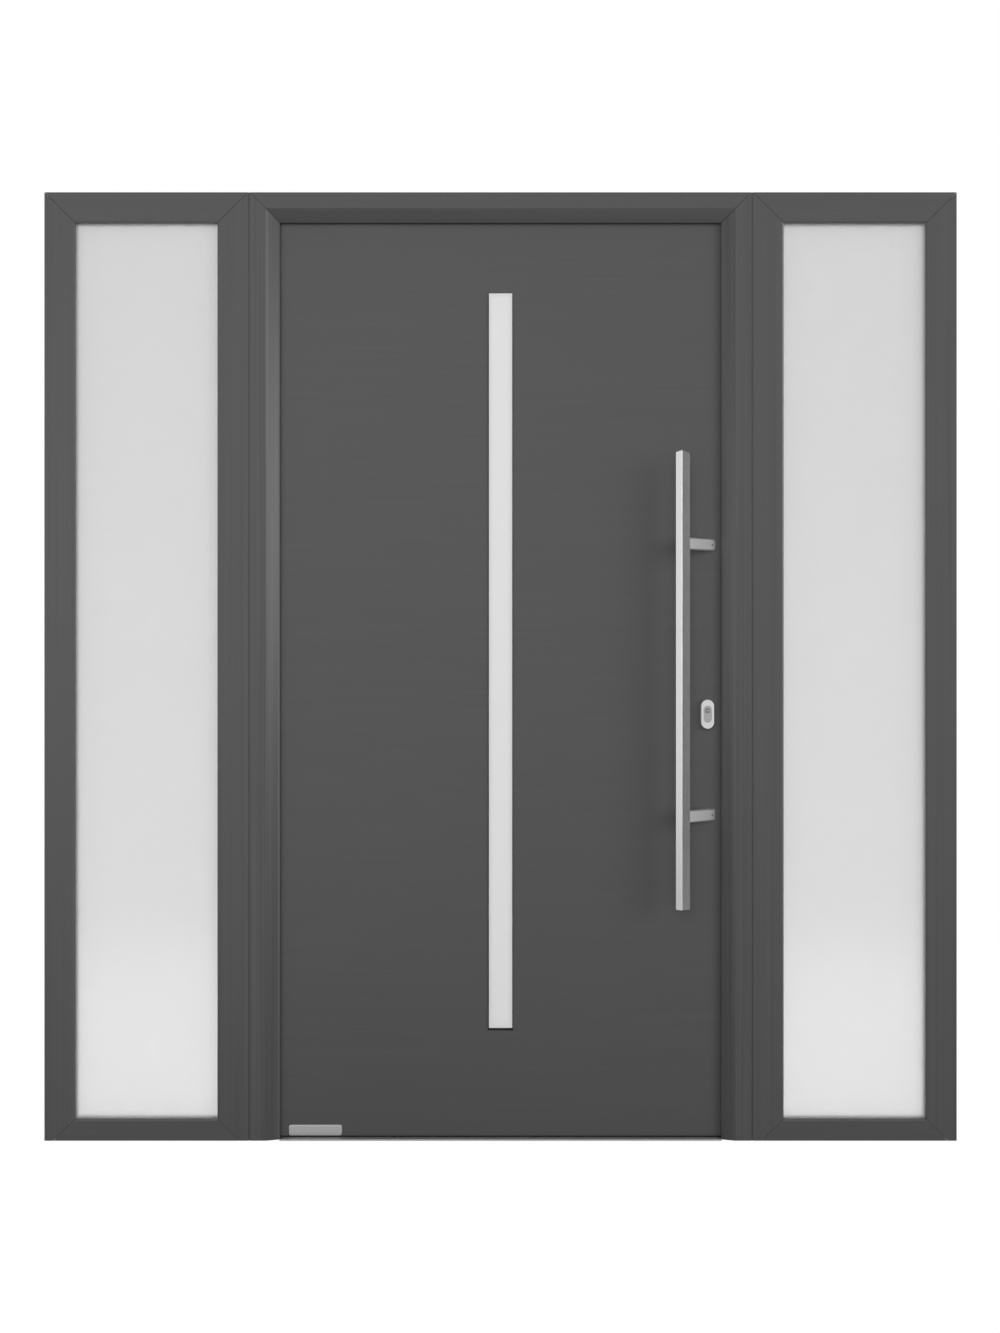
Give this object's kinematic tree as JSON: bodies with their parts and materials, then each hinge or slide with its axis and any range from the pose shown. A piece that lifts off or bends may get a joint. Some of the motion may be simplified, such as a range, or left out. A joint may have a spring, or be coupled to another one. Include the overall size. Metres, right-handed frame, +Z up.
{
  "type": "front door with sidelights",
  "caption": "Anthracite front door with a narrow satin glass strip, a long steel pull bar and a satin glass sidelight on each side.",
  "frame": {"origin": "underside of the threshold, mid-width of the door and mid-depth of the frame", "axes": "+X to the right seen from outside, +Y into the building, +Z up"},
  "size_m": [2.02, 0.2137, 2.1],
  "materials": {
    "frame_paint": "fine textured anthracite coating",
    "leaf_paint": "fine textured anthracite coating",
    "satin_glass": "satin etched",
    "seal_rubber": "matte",
    "glazing_rubber": "matte",
    "insulating_plastic": "matte",
    "spacer_metal": "mill",
    "stainless_steel": "brushed",
    "nickel": "satin nickel",
    "threshold_metal": "grey anodised"
  },
  "bodies": {
    "frame": {"coupling_strips": "frame_paint", "frame_thermal_breaks": "insulating_plastic", "head_inner_profile": "frame_paint", "head_outer_profile": "frame_paint", "hinge_frame_halves": "stainless_steel", "hinge_jamb_inner_profile": "frame_paint", "hinge_jamb_outer_profile": "frame_paint", "hinge_pins": "stainless_steel", "left_bottom_rail": "frame_paint", "left_glazing_beads": "frame_paint", "left_glazing_gaskets": "glazing_rubber", "left_inner_pane": "satin_glass", "left_inner_profiles": "frame_paint", "left_inner_stile": "frame_paint", "left_outer_pane": "satin_glass", "left_outer_stile": "frame_paint", "left_spacer": "spacer_metal", "left_top_rail": "frame_paint", "lock_jamb_inner_profile": "frame_paint", "lock_jamb_outer_profile": "frame_paint", "rebate_seal": "seal_rubber", "right_bottom_rail": "frame_paint", "right_glazing_beads": "frame_paint", "right_glazing_gaskets": "glazing_rubber", "right_inner_pane": "satin_glass", "right_inner_profiles": "frame_paint", "right_inner_stile": "frame_paint", "right_outer_pane": "satin_glass", "right_outer_stile": "frame_paint", "right_spacer": "spacer_metal", "right_top_rail": "frame_paint", "strike_plates": "stainless_steel", "threshold": "threshold_metal"},
    "leaf": {"leaf_outer_panel": "leaf_paint", "leaf_thermal_break": "insulating_plastic", "leaf_inner_panel": "leaf_paint", "strip_outer_pane": "satin_glass", "strip_inner_pane": "satin_glass", "strip_spacer": "spacer_metal", "strip_gasket": "seal_rubber", "strip_inside_trim": "frame_paint", "pull_bar": "stainless_steel", "pull_bar_supports": "stainless_steel", "cylinder_escutcheons": "stainless_steel", "lock_cylinder": "nickel", "inside_lever": "stainless_steel", "lever_rose": "stainless_steel", "lock_faceplate": "stainless_steel", "lock_bolts": "stainless_steel", "hinge_leaf_halves": "stainless_steel"}
  },
  "joints": [
    {"name": "leaf_swing", "type": "hinge", "parent": "frame", "child": "leaf", "pos_m": [-0.513, 0.06, 0], "axis": [0, 0, 1], "range_deg": [0, 110]}
  ]
}
